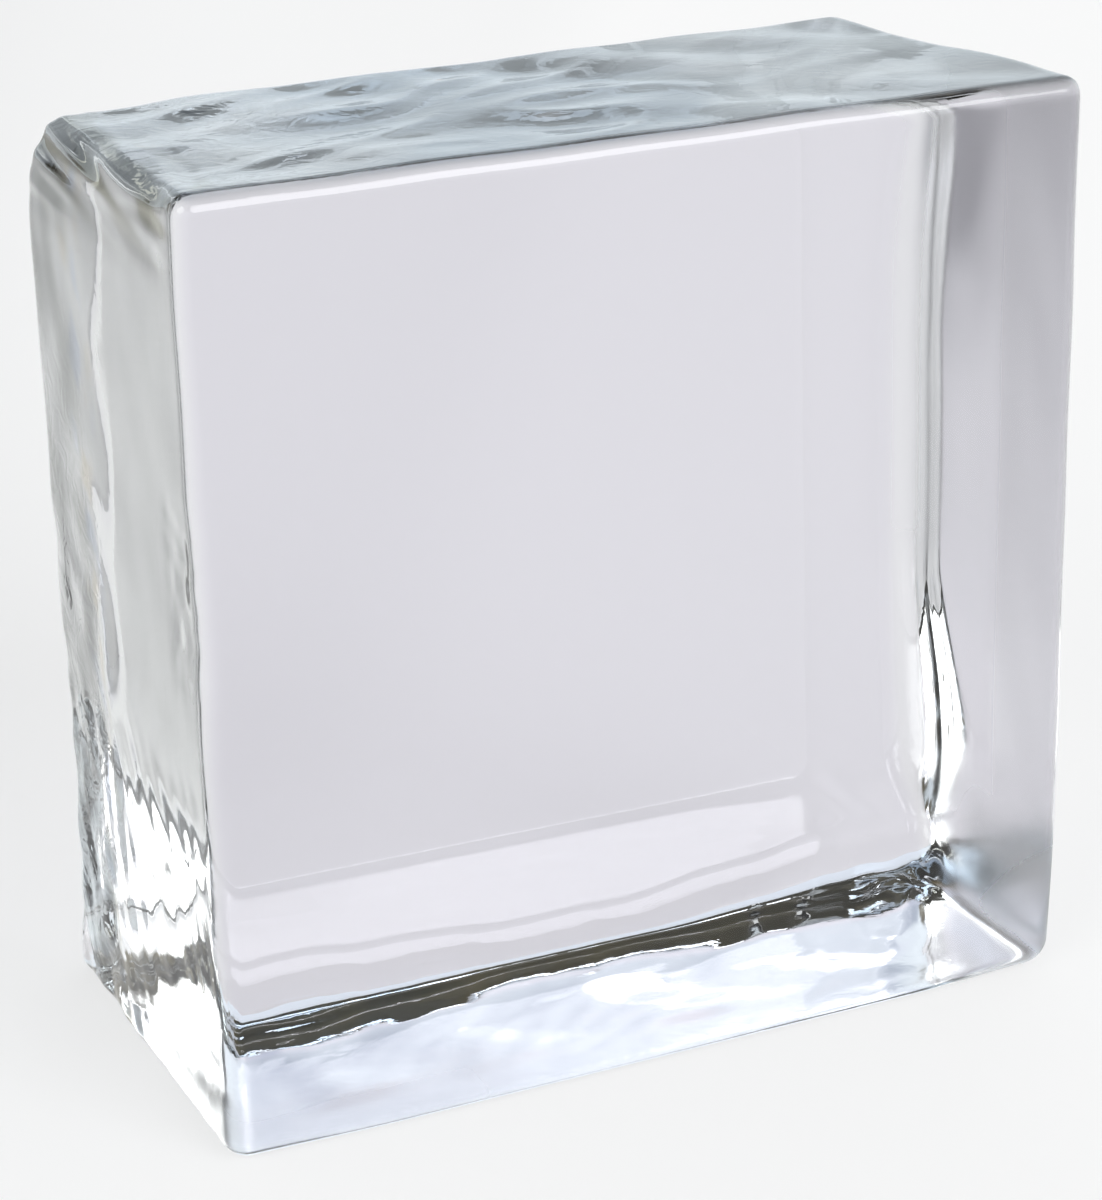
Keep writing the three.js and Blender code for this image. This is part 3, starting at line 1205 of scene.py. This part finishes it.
@dataclass(frozen=True)
class PaperFloor:
    """Flat pale paper under the block, a little dimmer to the left and far behind."""

    reach: float = 4.0
    gap: float = 0.0003
    paper: Color = (0.90, 0.90, 0.905)
    shaded_paper: Color = (0.30, 0.295, 0.31)
    white: Color = (1.0, 1.0, 1.0)
    white_share: float = 0.66
    shades: tuple[Shade, ...] = (
        Shade(-70.0, 0.05, 0.68, 0.92, 0.0, -0.08, 0.20),
        Shade(150.0, 0.50, 0.85, 0.20, 180.0, 0.0, 0.10),
        Shade(-60.0, 0.045, 0.11, 0.10, 0.0, -0.10, 0.10),
    )

    def shading(self, graph: Graph) -> Signal:
        """How dim the floor is: 1 less the product of 1 less each shade, a product of two smooth steps.

        Args:
            graph: The paper's own graph.

        Returns:
            The shade, 0 on plain paper.
        """
        place = graph.node("ShaderNodeTexCoord", {}, {}).outputs["Object"]
        light: Any = 1.0
        for shade in self.shades:
            along = graph.along(place, heading(shade.azimuth, 0.0)).ramp(shade.start, shade.full)
            across = graph.along(place, heading(shade.across, 0.0))
            across = across.ramp(shade.across_start, shade.across_full)
            light = (1.0 - along * across * shade.depth) * light
        return 1.0 - light

    def material(self) -> bpy.types.Material:
        """Build the paper: plain diffuse, with a share of pure white where it is looked at or mirrored.

        Returns:
            The material.
        """
        material = bpy.data.materials.new("floor_paper")
        graph = Graph(material)
        shade = self.shading(graph)
        color = graph.mix(shade, self.paper, self.shaded_paper)
        skin = graph.node("ShaderNodeBsdfDiffuse", {}, {"Color": color}).outputs["BSDF"]
        white = {"Color": opaque(self.white), "Strength": 1.0}
        glow = graph.node("ShaderNodeEmission", {}, white).outputs["Emission"]
        path = graph.node("ShaderNodeLightPath", {}, {}).outputs
        seen = sum(Signal(graph, path[f"Is {ray} Ray"]) for ray in ("Camera", "Glossy", "Transmission"))
        share = seen.math("MINIMUM", 1.0) * self.white_share * (1.0 - shade)
        shown = graph.node("ShaderNodeMixShader", {}, {0: share, 1: skin, 2: glow}).outputs["Shader"]
        graph.node("ShaderNodeOutputMaterial", {}, {"Surface": shown})
        return material

    def build(self) -> bpy.types.Object:
        """Make the floor: one square, a hair below the block.

        Returns:
            The floor object.
        """
        ways = np.array([[-1, -1], [1, -1], [1, 1], [-1, 1]]) * self.reach
        corners = np.column_stack([ways, np.full(len(ways), -self.gap)])
        floor = mesh_object("floor", corners, np.arange(len(ways))[None])
        floor.data.materials.append(self.material())
        return floor


@dataclass(frozen=True)
class KeyLamp:
    """Broad soft sun from behind the camera: heading and spread in degrees."""

    azimuth: float = 165.0
    elevation: float = 30.0
    spread: float = 40.0
    strength: float = 1.2

    def build(self) -> bpy.types.Object:
        """Add the lamp, turned to shine against its heading.

        Returns:
            The lamp object.
        """
        lamp = bpy.data.lights.new("key_lamp", "SUN")
        lamp.energy = self.strength
        lamp.angle = math.radians(self.spread)
        holder = bpy.data.objects.new("key_lamp", lamp)
        towards = Vector(heading(self.azimuth, self.elevation))
        holder.rotation_euler = towards.to_track_quat("Z", "Y").to_euler()
        bpy.context.scene.collection.objects.link(holder)
        return holder


@dataclass(frozen=True)
class Studio:
    """Pale floor in soft surroundings, with one soft lamp and enough bounces for light to leave the glass."""

    surroundings: Surroundings = Surroundings()
    lamp: KeyLamp = KeyLamp()
    floor: PaperFloor = PaperFloor()
    bounces: int = 40

    def build(self) -> bpy.types.Object:
        """Add the surroundings, the lamp and the floor.

        Returns:
            The floor object.
        """
        cycles = bpy.context.scene.cycles
        cycles.max_bounces = self.bounces
        cycles.transmission_bounces = self.bounces
        self.surroundings.build()
        self.lamp.build()
        return self.floor.build()


def main() -> None:
    """Build the camera, the block and its studio."""
    logging.basicConfig(level=logging.INFO)
    bpy.context.scene.view_settings.view_transform = "Standard"
    ViewCamera().build()
    block = GlassBlock().build()
    log.info("%s: %d faces", block.name, len(block.data.polygons))
    floor = Studio().build()
    log.info("%s: %d faces", floor.name, len(floor.data.polygons))


if __name__ == "__main__":
    main()
